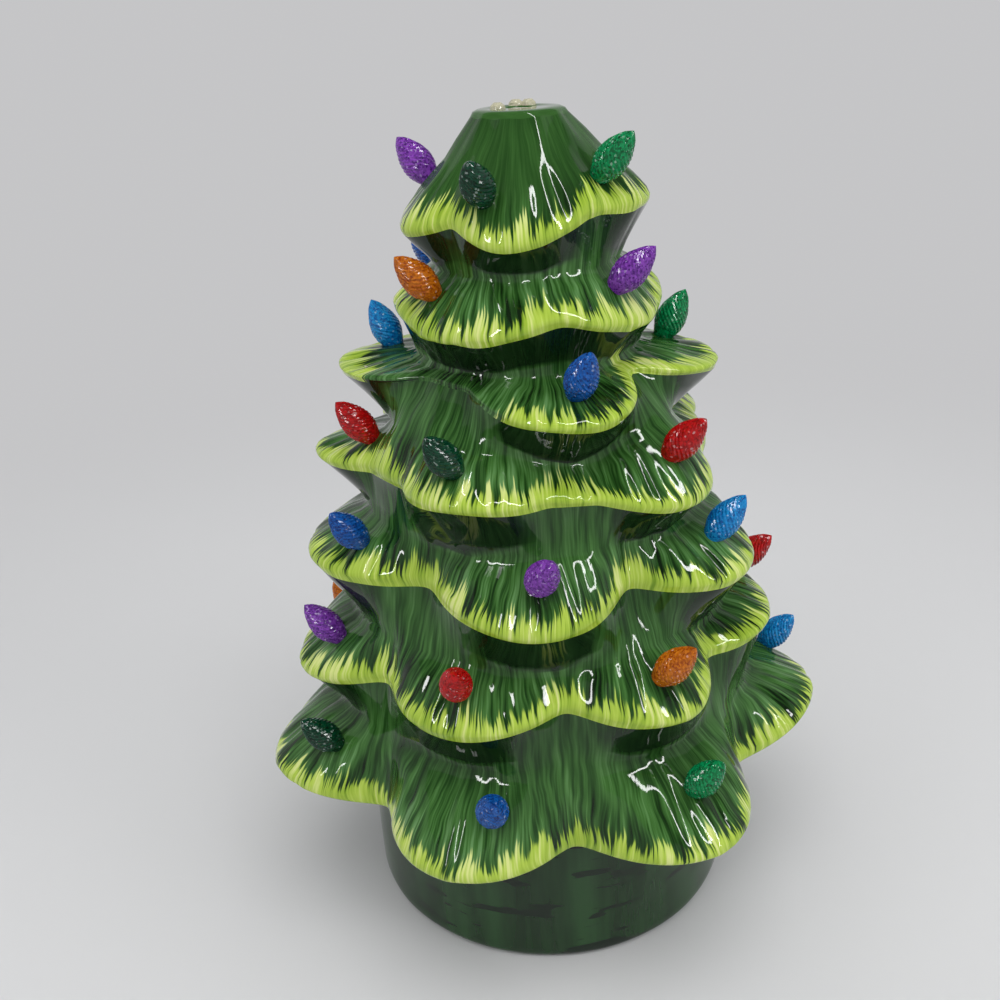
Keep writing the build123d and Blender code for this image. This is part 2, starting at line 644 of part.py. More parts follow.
def make_contacts():
    """Four plates on the end walls of the battery bay, each with a stud for each cell it touches."""
    wall = BAY_LENGTH / 2
    reach = CONTACT_SPACE - CONTACT_PLATE
    plates = []
    for side, groups in ((1, ((0, 1), (2,))), (-1, ((0,), (1, 2)))):
        for group in groups:
            half = CONTACT_WIDTH / 2
            y = (cell_y(group[0]) - half, cell_y(group[-1]) + half)
            z = (CELL_Z - CONTACT_HEIGHT / 2, CELL_Z + CONTACT_HEIGHT / 2)
            x = sorted((side * wall, side * (wall - CONTACT_PLATE)))
            plate = block(x, y, z)
            for number in group:
                stud = Cone(STUD_FOOT_RADIUS, STUD_TIP_RADIUS, reach)
                middle = side * (wall - CONTACT_PLATE - reach / 2)
                plate += Pos(middle, cell_y(number), CELL_Z) * Rot(0, -90 * side, 0) * stud
            plates.append(plate.solid())
    return Compound(children=plates)


def make_battery_door():
    """Door that runs in the side grooves and slides out to the front, with ribs for the thumb."""
    half = BAY_LENGTH / 2 + DOOR_GROOVE - FIT
    door = block((-half, half), (BOX_FRONT, BAY_BACK - FIT), (DOOR_UNDER, DOOR_TOP))
    for i in range(DOOR_RIBS):
        y = BAY_FRONT + RIB_WIDTH + i * RIB_PITCH
        door += block((-RIB_LENGTH / 2, RIB_LENGTH / 2), (y, y + RIB_WIDTH),
                      (DOOR_UNDER - RIB_HEIGHT, DOOR_UNDER))
    return door


parts = {
    "tree_shell": make_tree_shell(),
    "topper_glue": make_topper_glue(),
    "base_drum": make_drum(),
    "felt_ring": make_felt(),
    "light_housing": make_housing(),
    "retaining_ring": make_retaining_ring(),
    "led_post": make_led_post(),
    "led_board": make_led_board(),
    "leds": make_leds(),
    "diffuser": make_diffuser(),
    "led_wires": make_led_wires(),
    "circuit_board": make_circuit_board(),
    "switch_body": make_switch_body(),
    "switch_slider": make_switch_slider(),
    "electronics_cover": make_electronics_cover(),
    "cover_screws": make_cover_screws(),
    "battery_contacts": make_contacts(),
    "battery_door": make_battery_door(),
}
for number in range(CELLS):
    parts[f"battery_cell_{number + 1}"] = make_cell(number)
bulb = make_bulb()
for level, tier in enumerate(TIERS):
    for bough, letter in zip(tier.boughs, "abcdefg"):
        name = f"bulb_tier{len(TIERS) - level}_{letter}_{bough.colour}"
        parts[name] = bulb_seat(level, bough).location * bulb

os.makedirs("parts", exist_ok=True)
for name, shape in parts.items():
    export_step(shape, f"parts/{name}.step")
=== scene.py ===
import math
from collections import namedtuple

import bpy
import numpy as np
from mathutils import Euler, Matrix, Vector


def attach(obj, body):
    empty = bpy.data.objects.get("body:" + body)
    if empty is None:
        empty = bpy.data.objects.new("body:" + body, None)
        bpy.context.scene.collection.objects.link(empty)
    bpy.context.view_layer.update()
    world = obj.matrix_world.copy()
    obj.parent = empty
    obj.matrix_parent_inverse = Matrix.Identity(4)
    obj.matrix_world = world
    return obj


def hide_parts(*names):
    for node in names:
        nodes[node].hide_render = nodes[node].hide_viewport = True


# The looks of a ceramic christmas tree with plastic bulbs on a drum.
# Sizes are millimetres in the model's own frame, and MM turns them into metres.
# Azimuths are degrees from the front, which is -Y, positive to the right.

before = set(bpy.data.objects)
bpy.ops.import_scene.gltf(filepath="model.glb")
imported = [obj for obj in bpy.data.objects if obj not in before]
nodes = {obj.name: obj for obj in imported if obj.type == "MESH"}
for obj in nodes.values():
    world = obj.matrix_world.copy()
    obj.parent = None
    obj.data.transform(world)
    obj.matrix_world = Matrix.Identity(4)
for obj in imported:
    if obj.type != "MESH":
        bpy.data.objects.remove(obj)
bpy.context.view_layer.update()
MM = 0.001

# Camera
CAMERA_PLACE = (-15.8, -436.8, 385.7)
CAMERA_PITCH = 24.54
CAMERA_ROLL = -3.36
FOCAL_SHARE = 1.083
SENSOR = 36.0

# Tree shell, as in the solid model
WALL = 5.0
FOOT_RADIUS = 80.0
FOOT_Z = 72.0
TOP_RADIUS = 18.5
TOP_ROUNDING = 2.5
RIM_LIP = 3.0
LIP_SHARE = 0.25
RIM_UNDERCUT = 2.0
SHOULDER_OUT, SHOULDER_DOWN = 0.36, 0.20
BROW_OUT, BROW_DOWN = 0.84, 0.68
CROWN_SHOULDER_OUT, CROWN_SHOULDER_DOWN = 0.40, 0.42
CROWN_BROW_OUT, CROWN_BROW_DOWN = 0.80, 0.74
VALLEY_ROUNDING = 0.15
DIP_POWER = 3
RIM_INSET, RIM_RAISE = 1.8, 0.5
NECK_INSET, NECK_DROP = 1.3, 0.3
STAR_BORE_RADIUS = 5.0
BORE_CHAMFER = 0.6
# inset and drop of the rows that round the top plate's edge
TOP_EDGE = ((2 * TOP_ROUNDING, 0.0), (TOP_ROUNDING, 0.1), (0.7, 0.8))

# Mesh of the shell: columns round it, and rows in each stretch of a tier's profile
COLUMNS = 780
STRETCH_SAMPLES = (16, 24, 12, 5, 24)
STRETCH_ROWS = (2, 4, 3, 3, 3)
UNDERSIDE = 4
ROUNDING_PASSES = 22
RIM_GAIN = 1.4
GLAZED_TOP_ROWS = 5
SHELL_SEED = 7
# the strokes of the tiers lie this far apart in the brush map, and the inside lies below every rim
TIER_SHIFT = 400.0
INSIDE_UP = -20.0

# Relief of the shell: needles carved across each bough, a raised spine and low lumps
NEEDLE_PITCH = 7.0
NEEDLE_JITTER = 0.4
NEEDLE_REACH = 25
NEEDLE_WIDTH = (1.6, 3.0)
NEEDLE_DEPTH = (0.3, 1.1)
NEEDLE_START = (1.0, 9.0)
NEEDLE_LENGTH = (20.0, 46.0)
NEEDLE_DRIFT = 2.5
FAN_NARROW = 0.75
SPINE_HEIGHT = 0.8
SPINE_WIDTH = 4.0
SPINE_RIM_FADE = 8
SPINE_NECK_FADE = 4
LUMP_HEIGHT = 0.5
LUMP_COUNT = 11
LUMP_LENGTH = 9
LUMP_PHASE = 1.3

# Lime brush band along the rims: its least height at a tip and in a valley.
# On one tier the brush went broad over one bough, and the valley after it has no lime.
BAND_TIP = 4.0
BAND_VALLEY = 6.5
BAND_BROAD = 12.0
BAND_BARE = -30.0
UNEVEN_LEVEL = 4
BROAD_AZIMUTHS = (-140, -120, -88, -74)
BARE_AZIMUTHS = (-80, -62, -26, -8)

# Heights in metres over which the crown's strokes give way to a plain coat, its share and its tone
CROWN_PLAIN = (0.300, 0.328)
PLAIN_SHARE = 0.7
PLAIN_TONE = 0.46

# Distances in metres up from a rim over which its strokes calm down, by which share and to which tone
CALM_RISE = (0.014, 0.036)
CALM_SHARE = 0.4
CALM_TONE = 0.488

# Bulbs, as in the solid model, but a little fuller where they meet the glaze
PEG_RADIUS = 2.5
PEG_LENGTH = 8.0
COLLAR_RADIUS = 3.6
COLLAR_FLARE = 4.7
COLLAR_LENGTH = 3.0
SEAT_DEPTH = 1.6
FLAME_LENGTH = 19.4
FLAME_RADIUS = 6.5
FLAME_SHAPE = ((0.0, 0.77), (0.12, 0.91), (0.32, 1.0), (0.56, 0.86), (0.80, 0.52), (0.94, 0.24),
               (1.0, 0.0))
FLAME_SAMPLES = 200
FLAME_PASSES = 60
FLAME_CROWDING = 0.9
BULB_ELEVATION = 50.0
BULB_LEAN = 0.5
BULB_SHARE = 0.25
CROWN_BULB_SHARE = 0.75
PEG_CHAMFER = 0.3
COLLAR_EDGE = 0.6
BULB_POINT = 0.05
BULB_COLUMNS = 32
BULB_ROWS = 22
FACET_HEIGHT = 0.14
PLAIN_BASE_ROWS = 2
PLAIN_TIP_ROWS = 3
BULB_SEED = 3

# Drum, as in the solid model
DRUM_RADIUS = 85.0
DRUM_BORE = 79.0
DRUM_UNDER = 1.2
DRUM_EDGE = 2.5
DECK_TOP = 72.0
DECK_UNDER = 65.0
DECK_HOLE_RADIUS = 24.0
LOCATOR_RADIUS = 74.0
LOCATOR_BORE = 68.0
LOCATOR_TOP = 80.0
LOCATOR_FILLET = 1
LOCATOR_ROUNDING = 1.8
DECK_FILLET = 3
HOLE_CHAMFER = 0.6
DRUM_COLUMNS = 160
DRUM_WALL_ROWS = 26
# faint waves in the drum's wall: size, count round the drum and millimetres of height per radian
DRUM_WAVES = ((0.12, 5, 17), (0.08, 11, -9))
DRUM_WAVE_INSET = 0.2

Tier = namedtuple("Tier", "rise rim valley rim_up valley_up neck cove dip spread boughs")
Bough = namedtuple("Bough", "azimuth reach lift bulb swing colour")
# up: distance up from the rim, along: share of the way from neck to rim, offset: degrees from the spine,
# fan: azimuth that fans out along a bough, band: height of the lime band
Field = namedtuple("Field", "up along offset fan band")

# The tiers of the solid model, from the bottom up
TIERS = (
    Tier(38, 127, 101, 10, 6, FOOT_RADIUS, FOOT_RADIUS, 0, 34, (
        Bough(-69, 3, 1, 10, -10, "dark_green"),
        Bough(-21, -2, -5, 7, 15, "blue"),
        Bough(28, 4, -1, 1, 30, "green"),
        Bough(78, -3, 11, 12, -24, "light_blue"),
        Bough(136, 0, 3, 4, 0, "red"),
        Bough(187, 0, 3, -5, 0, "purple"),
        Bough(237, 0, 3, 3, 0, "orange"))),
    Tier(43, 107, 89, 21, 25, 92, 94, 2, 32, (
        Bough(-75, 5, -6, 6, -17, "purple"),
        Bough(-22, -3, -1, -1, 20, "red"),
        Bough(28, 1, 0, -2, 38, "orange"),
        Bough(68, -4, 9, 21, -18, "red"),
        Bough(130, 0, 3, 2, 0, "blue"),
        Bough(183, 0, 2, -4, 0, "green"),
        Bough(235, 0, 0, 5, 0, "red"))),
    Tier(42, 98, 74, 17, 22, 81, 86, 5, 40, (
        Bough(-75, 3, 7, 14, 7, "blue"),
        Bough(-2, -3, 0, -1, 30, "purple"),
        Bough(54, 1, 3, 0, 35, "light_blue"),
        Bough(128, 0, 2, 5, 0, "orange"),
        Bough(204, 0, 3, -3, 0, "red"))),
    Tier(40, 87, 73, 15, 18, 71, 73, 2, 26, (
        Bough(-92, 7, 3, 18, 0, "red"),
        Bough(-23, 0, 8, -2, -25, "dark_green"),
        Bough(41, 2, -1, 0, 22, "red"),
        Bough(126, 0, 1, 4, 0, "purple"),
        Bough(177, 0, 1, -3, 0, "light_blue"),
        Bough(223, 0, 2, 2, 0, "green"))),
    Tier(22, 74, 50, 11, 18, 56, 67, 10, 47, (
        Bough(-99, 7, 4, -9, 5, "light_blue"),
        Bough(14, 2, -2, 0, 18, "blue"),
        Bough(86, 4, 0, 15, -8, "green"),
        Bough(176, 0, 2, -4, 0, "orange"))),
    Tier(36, 55, 54, 12, 20, 43, 45, 0, 45, (
        Bough(-34, 1, 2, -19, -15, "orange"),
        Bough(56, -1, 1, -10, 35, "purple"),
        Bough(146, 0, 1, 5, 0, "red"),
        Bough(236, 0, 1, -5, 0, "blue"))),
    Tier(57, 47.5, 42, 13, 19, 37, 38, 0, 45, (
        Bough(-72, 2, 1, -30, -20, "purple"),
        Bough(-11, 0, -2, -13, 5, "dark_green"),
        Bough(85, 2, 7, -34, 5, "green"),
        Bough(180, 0, 3, 0, 0, "red"))),
)
CROWN = len(TIERS) - 1
CREST_Z = FOOT_Z + sum(tier.rise for tier in TIERS)


# Shape of the tree


def mix(start, end, share):
    return start + (end - start) * share


def polar(radius, azimuth, height):
    turn = np.radians(azimuth)
    return np.stack([radius * np.sin(turn), -radius * np.cos(turn), height], axis=-1)


def rounded(share):
    """Share from 0 to 1 that starts level at 0."""
    start = VALLEY_ROUNDING
    return (np.hypot(share, start) - start) / (math.hypot(1, start) - start)


def bough_share(tier, azimuth):
    """Share of the nearest bough, reach and lift there, and degrees from its spine."""
    first = tier.boughs[0].azimuth
    turn = (azimuth - first) % 360
    share, reach, lift, offset = (np.zeros_like(turn) for _ in range(4))
    for bough, after in zip(tier.boughs, tier.boughs[1:] + tier.boughs[:1]):
        start = bough.azimuth - first
        gap = (after.azimuth - bough.azimuth) % 360
        here = (turn >= start) & (turn < start + gap)
        along = (turn[here] - start) / gap
        away = np.minimum(along, 1 - along) * gap / min(gap / 2, tier.spread)
        ease = along * along * (3 - 2 * along)
        share[here] = 1 - (1 - rounded(1 - np.minimum(away, 1))) ** 2
        reach[here] = mix(bough.reach, after.reach, ease)
        lift[here] = mix(bough.lift, after.lift, ease)
        offset[here] = np.where(along < 0.5, along, along - 1) * gap
    return share, reach, lift, offset


def floor_of(level):
    """Height of the neck under a tier, without its dips."""
    return FOOT_Z + sum(lower.rise for lower in TIERS[:level])


def neck(level, azimuth):
    """Radius and height of the neck under a tier, or of the top plate's edge above the last."""
    if level > CROWN:
        return np.full_like(azimuth, TOP_RADIUS), np.full_like(azimuth, CREST_Z - TOP_ROUNDING)
    tier = TIERS[level]
    share = bough_share(tier, azimuth)[0]
    return mix(tier.cove, tier.neck, share), floor_of(level) - tier.dip * share ** DIP_POWER


def rim(level, azimuth):
    """Radius and height of a tier's rim, at its lower edge."""
    tier = TIERS[level]
    share, reach, lift, _ = bough_share(tier, azimuth)
    radius = mix(tier.valley, tier.rim + reach, share)
    up = mix(tier.valley_up + lift / 2, tier.rim_up + lift, share)
    return radius, floor_of(level) + up


def skin(level, azimuth):
    """Outer profile of a tier, from the neck above it to the neck under it, as radii and heights."""
    top_r, top_z = neck(level + 1, azimuth)
    rim_r, rim_z = rim(level, azimuth)
    lip_z = rim_z + np.minimum(RIM_LIP, LIP_SHARE * (top_z - rim_z))
    out = (SHOULDER_OUT, BROW_OUT)
    down = (SHOULDER_DOWN, BROW_DOWN)
    if level == CROWN:
        out = (CROWN_SHOULDER_OUT, CROWN_BROW_OUT)
        down = (CROWN_SHOULDER_DOWN, CROWN_BROW_DOWN)
    shoulder = (mix(top_r, rim_r, out[0]), mix(top_z, lip_z, down[0]))
    brow = (mix(top_r, rim_r, out[1]), mix(top_z, lip_z, down[1]))
    return [(top_r, top_z), shoulder, brow, (rim_r, lip_z), (rim_r - RIM_UNDERCUT, rim_z),
            neck(level, azimuth)]


def smooth(rows, passes):
    """Rounds the profile: each row moves towards the middle of its neighbours."""
    for _ in range(passes):
        rows[1:-1] = (rows[:-2] + 2 * rows[1:-1] + rows[2:]) / 4
    return rows


def tier_field(level, run, top, edge, azimuth):
    """What the brush follows on one tier, for every row of the skin."""
    share, _, _, offset = bough_share(TIERS[level], azimuth)
    up = run[edge] - run
    along = np.clip((run - run[top]) / (run[edge] - run[top]), 0, 1)
    band = mix(BAND_VALLEY, BAND_TIP, share)
    if level == UNEVEN_LEVEL:
        band = mix(band, BAND_BROAD, np.interp(azimuth, BROAD_AZIMUTHS, (0, 1, 1, 0)))
        band = mix(band, BAND_BARE, np.interp(azimuth, BARE_AZIMUTHS, (0, 1, 1, 0)))
    fan = azimuth + offset * share * (1 / mix(FAN_NARROW, 1, along) - 1)
    return Field(up, along, offset + 0 * up, fan, band + 0 * up)


def outer_rows(azimuth):
    """Outer skin from the top plate to the foot.

    Returns the radius and height of its rows, the tier whose strokes cover each row, and the fields of
    every tier at those rows. The strokes of a tier run on up the wall to the rim above it."""
    dense = []
    kept = []
    tops = {}
    edges = {}
    levels = []
    for level in range(CROWN, -1, -1):
        corners = [np.stack(corner, axis=-1) for corner in skin(level, azimuth)]
        for rim_corner in (3, 4):
            corners[rim_corner][:, 0] += RIM_GAIN
        tops[level] = len(dense)
        for stretch, samples in enumerate(STRETCH_SAMPLES):
            if stretch == UNDERSIDE:
                edges[level] = len(dense)
            picks = np.linspace(0, samples, STRETCH_ROWS[stretch], endpoint=False).round()
            for step in range(samples):
                dense.append(mix(corners[stretch], corners[stretch + 1], step / samples))
                kept.append(step in picks)
                levels.append(max(level - 1, 0) if stretch == UNDERSIDE else level)
    dense.append(corners[-1])
    kept.append(True)
    levels.append(0)
    dense = smooth(np.array(dense), ROUNDING_PASSES)
    steps = np.linalg.norm(np.diff(dense, axis=0, prepend=dense[:1]), axis=-1)
    run = np.cumsum(steps, axis=0)
    picked = np.flatnonzero(kept)
    fields = [tier_field(level, run, tops[level], edges[level], azimuth) for level in range(len(TIERS))]
    fields = [Field(*(values[picked] for values in field)) for field in fields]
    return dense[picked], np.array(levels)[picked], fields


def needle_relief(azimuth, radius, level_of, own, random):
    """Height of the carved needles, the bough's spine and the lumps, for each row and column."""
    relief = np.zeros_like(radius)
    up = own.up
    girth = mix(FAN_NARROW, 1, own.along) * np.radians(1) * radius
    for level, tier in enumerate(TIERS):
        rows = np.flatnonzero(level_of == level)
        count = int(2 * math.pi * tier.rim / NEEDLE_PITCH)
        for number in range(count):
            middle = -180 + 360 * (number + random.uniform(-NEEDLE_JITTER, NEEDLE_JITTER)) / count
            width = random.uniform(*NEEDLE_WIDTH)
            depth = random.uniform(*NEEDLE_DEPTH)
            start = random.uniform(*NEEDLE_START)
            length = random.uniform(*NEEDLE_LENGTH)
            drift = random.uniform(-NEEDLE_DRIFT, NEEDLE_DRIFT)
            columns = np.flatnonzero(np.abs((azimuth - middle + 180) % 360 - 180) < NEEDLE_REACH)
            patch = np.ix_(rows, columns)
            along = np.clip((up[patch] - start) / length, 0, 1)
            away = (own.fan[patch] - middle - drift * along + 180) % 360 - 180
            fade = np.sin(math.pi * np.sqrt(along)) * (up[patch] > 0)
            relief[patch] -= depth * fade * np.exp(-(away * girth[patch] / width) ** 2)
    on_top = np.clip(up / SPINE_RIM_FADE, 0, 1) * np.clip(own.along * SPINE_NECK_FADE, 0, 1)
    relief += SPINE_HEIGHT * on_top * np.exp(-(own.offset * np.radians(1) * radius / SPINE_WIDTH) ** 2)
    level = level_of[:, None]
    around = np.sin(np.radians(azimuth) * LUMP_COUNT + LUMP_PHASE * level)
    return relief + LUMP_HEIGHT * (around * np.sin(up / LUMP_LENGTH + level))


def hollow_rows(azimuth):
    """Rows of the cavity from the foot to the hole for the star, with the flat top plate."""
    rows = [(FOOT_RADIUS - WALL, FOOT_Z)]
    for level in range(len(TIERS)):
        rim_r, rim_z = rim(level, azimuth)
        rows.append((rim_r - RIM_INSET * WALL, rim_z + RIM_RAISE * WALL))
        if level < CROWN:
            neck_r, neck_z = neck(level + 1, azimuth)
            rows.append((neck_r - NECK_INSET * WALL, neck_z - NECK_DROP * WALL))
    rows.append((TOP_RADIUS - WALL, CREST_Z - WALL))
    rows.append((STAR_BORE_RADIUS, CREST_Z - WALL))
    rows.append((STAR_BORE_RADIUS, CREST_Z - BORE_CHAMFER))
    rows.append((STAR_BORE_RADIUS + BORE_CHAMFER, CREST_Z))
    rows += [(TOP_RADIUS - inset, CREST_Z - drop) for inset, drop in TOP_EDGE]
    full = np.ones_like(azimuth)
    return np.array([np.stack([r * full, z * full], axis=-1) for r, z in rows])


def grid_normals(points):
    """Outward unit normals of a grid of rows from the top down by columns round the axis."""
    down = np.gradient(points, axis=0)
    round_it = (np.roll(points, -1, axis=1) - np.roll(points, 1, axis=1)) / 2
    normal = np.cross(down, round_it)
    return normal / np.maximum(np.linalg.norm(normal, axis=-1, keepdims=True), 1e-9)


def grid_faces(rows, columns, closed):
    """Quads of a grid that is closed round its columns, and along its rows if closed is true."""
    first = np.arange(rows if closed else rows - 1)[:, None]
    column = np.arange(columns)[None, :]
    below = (first + 1) % rows
    after = (column + 1) % columns
    corners = [first * columns + column, below * columns + column, below * columns + after,
               first * columns + after]
    return np.stack([np.broadcast_to(c, (len(first), columns)) for c in corners], axis=-1).reshape(-1, 4)


def mesh_object(name, points, faces, smooth_shade=True):
    mesh = bpy.data.meshes.new(name)
    mesh.from_pydata((np.asarray(points) * MM).tolist(), [], np.asarray(faces).tolist())
    mesh.validate()
    if smooth_shade:
        mesh.polygons.foreach_set("use_smooth", [True] * len(mesh.polygons))
    made = bpy.data.objects.new(name, mesh)
    bpy.context.scene.collection.objects.link(made)
    return made


def corner_layer(mesh, name, first, second):
    """Two fields for each corner of each face, kept as a UV map in metres."""
    layer = mesh.uv_layers.new(name=name)
    values = np.stack([first, second], axis=-1)
    layer.data.foreach_set("uv", (values * MM).astype(np.float32).ravel())


def corners_of(upper, lower, wrap):
    """Values at the four corners of each face, from those along its upper and its lower edge.

    wrap is what a value gains in one turn round the tree."""
    def after(values):
        return np.concatenate([values[:, 1:], values[:, :1] + wrap], axis=1)
    return np.stack([upper, lower, after(lower), after(upper)], axis=-1).reshape(-1, 4)


def own_field(fields, rows, level_of):
    """Fields at the given rows, each of the tier whose strokes cover that row."""
    parts = range(len(Field._fields))
    return Field(*(np.stack([fields[level][part][row] for row, level in zip(rows, level_of)])
                   for part in parts))


def make_shell():
    azimuth = np.linspace(-180, 180, COLUMNS, endpoint=False)
    profile, level_of, fields = outer_rows(azimuth)
    rows = np.arange(len(profile))
    own = own_field(fields, rows, level_of)
    beyond = own_field(fields, np.minimum(rows + 1, rows[-1]), level_of)
    relief = needle_relief(azimuth, profile[..., 0], level_of, own, np.random.default_rng(SHELL_SEED))
    outside = polar(profile[..., 0], azimuth, profile[..., 1])
    outside = outside + grid_normals(outside) * relief[..., None]
    inner = hollow_rows(azimuth)
    inside = polar(inner[..., 0], azimuth, inner[..., 1])
    points = np.concatenate([outside, inside])
    faces = grid_faces(len(points), COLUMNS, True)
    shell = mesh_object("tree_glazed_shell", points.reshape(-1, 3), faces)

    filler = np.zeros((len(inside), COLUMNS))
    girth = np.radians(1) * np.array([TIERS[level].rim for level in level_of])[:, None]
    shift = TIER_SHIFT * level_of[:, None]
    wrap = np.concatenate([360 * girth, filler[:, :1]])
    across = corners_of(np.concatenate([own.fan * girth + shift, filler]),
                        np.concatenate([beyond.fan * girth + shift, filler]), wrap)
    up = corners_of(np.concatenate([own.up, filler + INSIDE_UP]),
                    np.concatenate([beyond.up, filler + INSIDE_UP]), 0 * wrap)
    band = corners_of(np.concatenate([own.band, filler]),
                      np.concatenate([beyond.band, filler]), 0 * wrap)
    # tilt, the upward part of the outer normal, sets where shade is painted on the undersides
    tilt = np.concatenate([grid_normals(outside)[..., 2], filler])
    tilt = corners_of(tilt, np.roll(tilt, -1, axis=0), 0 * wrap)
    corner_layer(shell.data, "strokes", across, up)
    corner_layer(shell.data, "rims", band, tilt / MM)

    face_row = np.arange(len(faces)) // COLUMNS
    bare = (face_row >= len(outside) - 1) & (face_row < len(points) - GLAZED_TOP_ROWS)
    shell.data.materials.append(glaze_material())
    shell.data.materials.append(bisque_material())
    shell.data.polygons.foreach_set("material_index", bare.astype(np.int32))
    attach(shell, "tree")
    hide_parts("tree_shell")


# Bulbs


def bulb_matrix(level, bough):
    """Place of a bulb: its seat on the bough, with Z along the bulb."""
    azimuth = np.array([float(bough.azimuth + bough.bulb)])
    share = CROWN_BULB_SHARE if level == CROWN else BULB_SHARE
    profile = skin(level, azimuth)
    radius = mix(profile[1][0], profile[2][0], share)[0]
    height = mix(profile[1][1], profile[2][1], share)[0]
    fall = (profile[1][1] - profile[2][1])[0]
    run = (profile[2][0] - profile[1][0])[0]
    elevation = mix(BULB_ELEVATION, math.degrees(math.atan2(run, fall)), BULB_LEAN)
    out = Vector(polar(1.0, azimuth[0] + bough.swing, math.tan(math.radians(elevation)))).normalized()
    seat = Vector(polar(radius, azimuth[0], height)) - out * SEAT_DEPTH
    return Matrix.Translation(seat * MM) @ out.to_track_quat("Z", "Y").to_matrix().to_4x4()


def bulb_mesh(name, material):
    """One bulb on the origin: peg below, collar and flame above, the flame cut in small diamonds."""
    heights = np.linspace(0, 1, FLAME_SAMPLES)
    shares = smooth(np.interp(heights, *zip(*FLAME_SHAPE)), FLAME_PASSES)
    rise = np.linspace(0, 1, BULB_ROWS) ** FLAME_CROWDING
    flame_r = np.interp(rise, heights, shares) * FLAME_RADIUS
    flame_z = COLLAR_LENGTH + rise * FLAME_LENGTH
    stem_r = [BULB_POINT, PEG_RADIUS - PEG_CHAMFER, PEG_RADIUS, PEG_RADIUS, COLLAR_RADIUS, COLLAR_FLARE]
    stem_z = [-PEG_LENGTH, -PEG_LENGTH, -PEG_LENGTH + PEG_CHAMFER, 0.0, 0.0, COLLAR_LENGTH - COLLAR_EDGE]
    radius = np.concatenate([stem_r, flame_r])
    height = np.concatenate([stem_z, flame_z])
    radius[-1] = BULB_POINT
    turn = np.linspace(0, 360, BULB_COLUMNS, endpoint=False)
    row = np.arange(len(radius))[:, None]
    column = np.arange(BULB_COLUMNS)[None, :]
    cut = np.where((row + column) % 2 == 0, FACET_HEIGHT, -FACET_HEIGHT)
    cut = cut * ((row >= len(stem_r) + PLAIN_BASE_ROWS) & (row < len(radius) - PLAIN_TIP_ROWS))
    points = polar(radius[:, None] + cut, turn, np.broadcast_to(height[:, None], cut.shape))
    faces = grid_faces(len(radius), BULB_COLUMNS, False)[:, ::-1]
    made = mesh_object(name, points.reshape(-1, 3), faces, smooth_shade=False)
    made.data.materials.append(material)
    return made


def make_bulbs():
    random = np.random.default_rng(BULB_SEED)
    materials = {colour: bulb_material(colour) for colour in BULB_COLOURS}
    for level, tier in enumerate(TIERS):
        for bough, letter in zip(tier.boughs, "abcdefg"):
            place = f"tier{len(TIERS) - level}_{letter}_{bough.colour}"
            made = bulb_mesh("bulb_cut_" + place, materials[bough.colour])
            spin = Matrix.Rotation(random.uniform(0, 2 * math.pi), 4, "Z")
            made.data.transform(bulb_matrix(level, bough) @ spin)
            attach(made, "tree")
            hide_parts("bulb_" + place)


# Drum


def make_drum():
    """Drum turned from a rounded outline, with the faint waves of a cast and glazed wall."""
    edge = DRUM_EDGE
    outline = [(DRUM_BORE, DRUM_UNDER), (DRUM_RADIUS - edge, DRUM_UNDER)]
    outline += [(DRUM_RADIUS - edge + edge * math.sin(a), DRUM_UNDER + edge - edge * math.cos(a))
                for a in np.radians((30, 60))]
    outline += [(DRUM_RADIUS, z) for z in np.linspace(DRUM_UNDER + edge, DECK_TOP - edge, DRUM_WALL_ROWS)]
    outline += [(DRUM_RADIUS - edge + edge * math.cos(a), DECK_TOP - edge + edge * math.sin(a))
                for a in np.radians((30, 60, 90))]
    outline += [(LOCATOR_RADIUS + LOCATOR_FILLET, DECK_TOP),
                (LOCATOR_RADIUS, DECK_TOP + LOCATOR_FILLET),
                (LOCATOR_RADIUS, LOCATOR_TOP - LOCATOR_ROUNDING),
                (LOCATOR_RADIUS - LOCATOR_ROUNDING, LOCATOR_TOP),
                (LOCATOR_BORE + LOCATOR_ROUNDING, LOCATOR_TOP),
                (LOCATOR_BORE, LOCATOR_TOP - LOCATOR_ROUNDING),
                (LOCATOR_BORE, DECK_TOP + LOCATOR_FILLET),
                (LOCATOR_BORE - LOCATOR_FILLET, DECK_TOP),
                (DECK_HOLE_RADIUS + HOLE_CHAMFER, DECK_TOP),
                (DECK_HOLE_RADIUS, DECK_TOP - HOLE_CHAMFER),
                (DECK_HOLE_RADIUS, DECK_UNDER),
                (DRUM_BORE - DECK_FILLET, DECK_UNDER),
                (DRUM_BORE, DECK_UNDER - DECK_FILLET)]
    radius, height = np.array(outline).T
    azimuth = np.linspace(-180, 180, DRUM_COLUMNS, endpoint=False)
    turn = np.radians(azimuth)
    waves = sum(size * np.sin(count * turn + height[:, None] / rise) for size, count, rise in DRUM_WAVES)
    waves = waves * (radius[:, None] > DRUM_RADIUS - edge / 2)
    points = polar(radius[:, None] + waves - DRUM_WAVE_INSET * (waves != 0), azimuth,
                   np.broadcast_to(height[:, None], waves.shape))
    faces = grid_faces(len(radius), DRUM_COLUMNS, True)[:, ::-1]
    drum = mesh_object("drum_glazed", points.reshape(-1, 3), faces)
    drum.data.materials.append(drum_material())
    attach(drum, "base")
    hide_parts("base_drum")


# Materials


def node(tree, kind, inputs=(), **settings):
    """Adds a shader node. An input that is a socket is linked, and any other is set."""
    made = tree.nodes.new("ShaderNode" + kind)
    for key, value in settings.items():
        setattr(made, key, value)
    for key, value in dict(inputs).items():
        if isinstance(value, bpy.types.NodeSocket):
            tree.links.new(value, made.inputs[key])
        else:
            made.inputs[key].default_value = value
    return made


def calc(tree, operation, *values, clamp=False):
    return node(tree, "Math", enumerate(values), operation=operation, use_clamp=clamp).outputs[0]


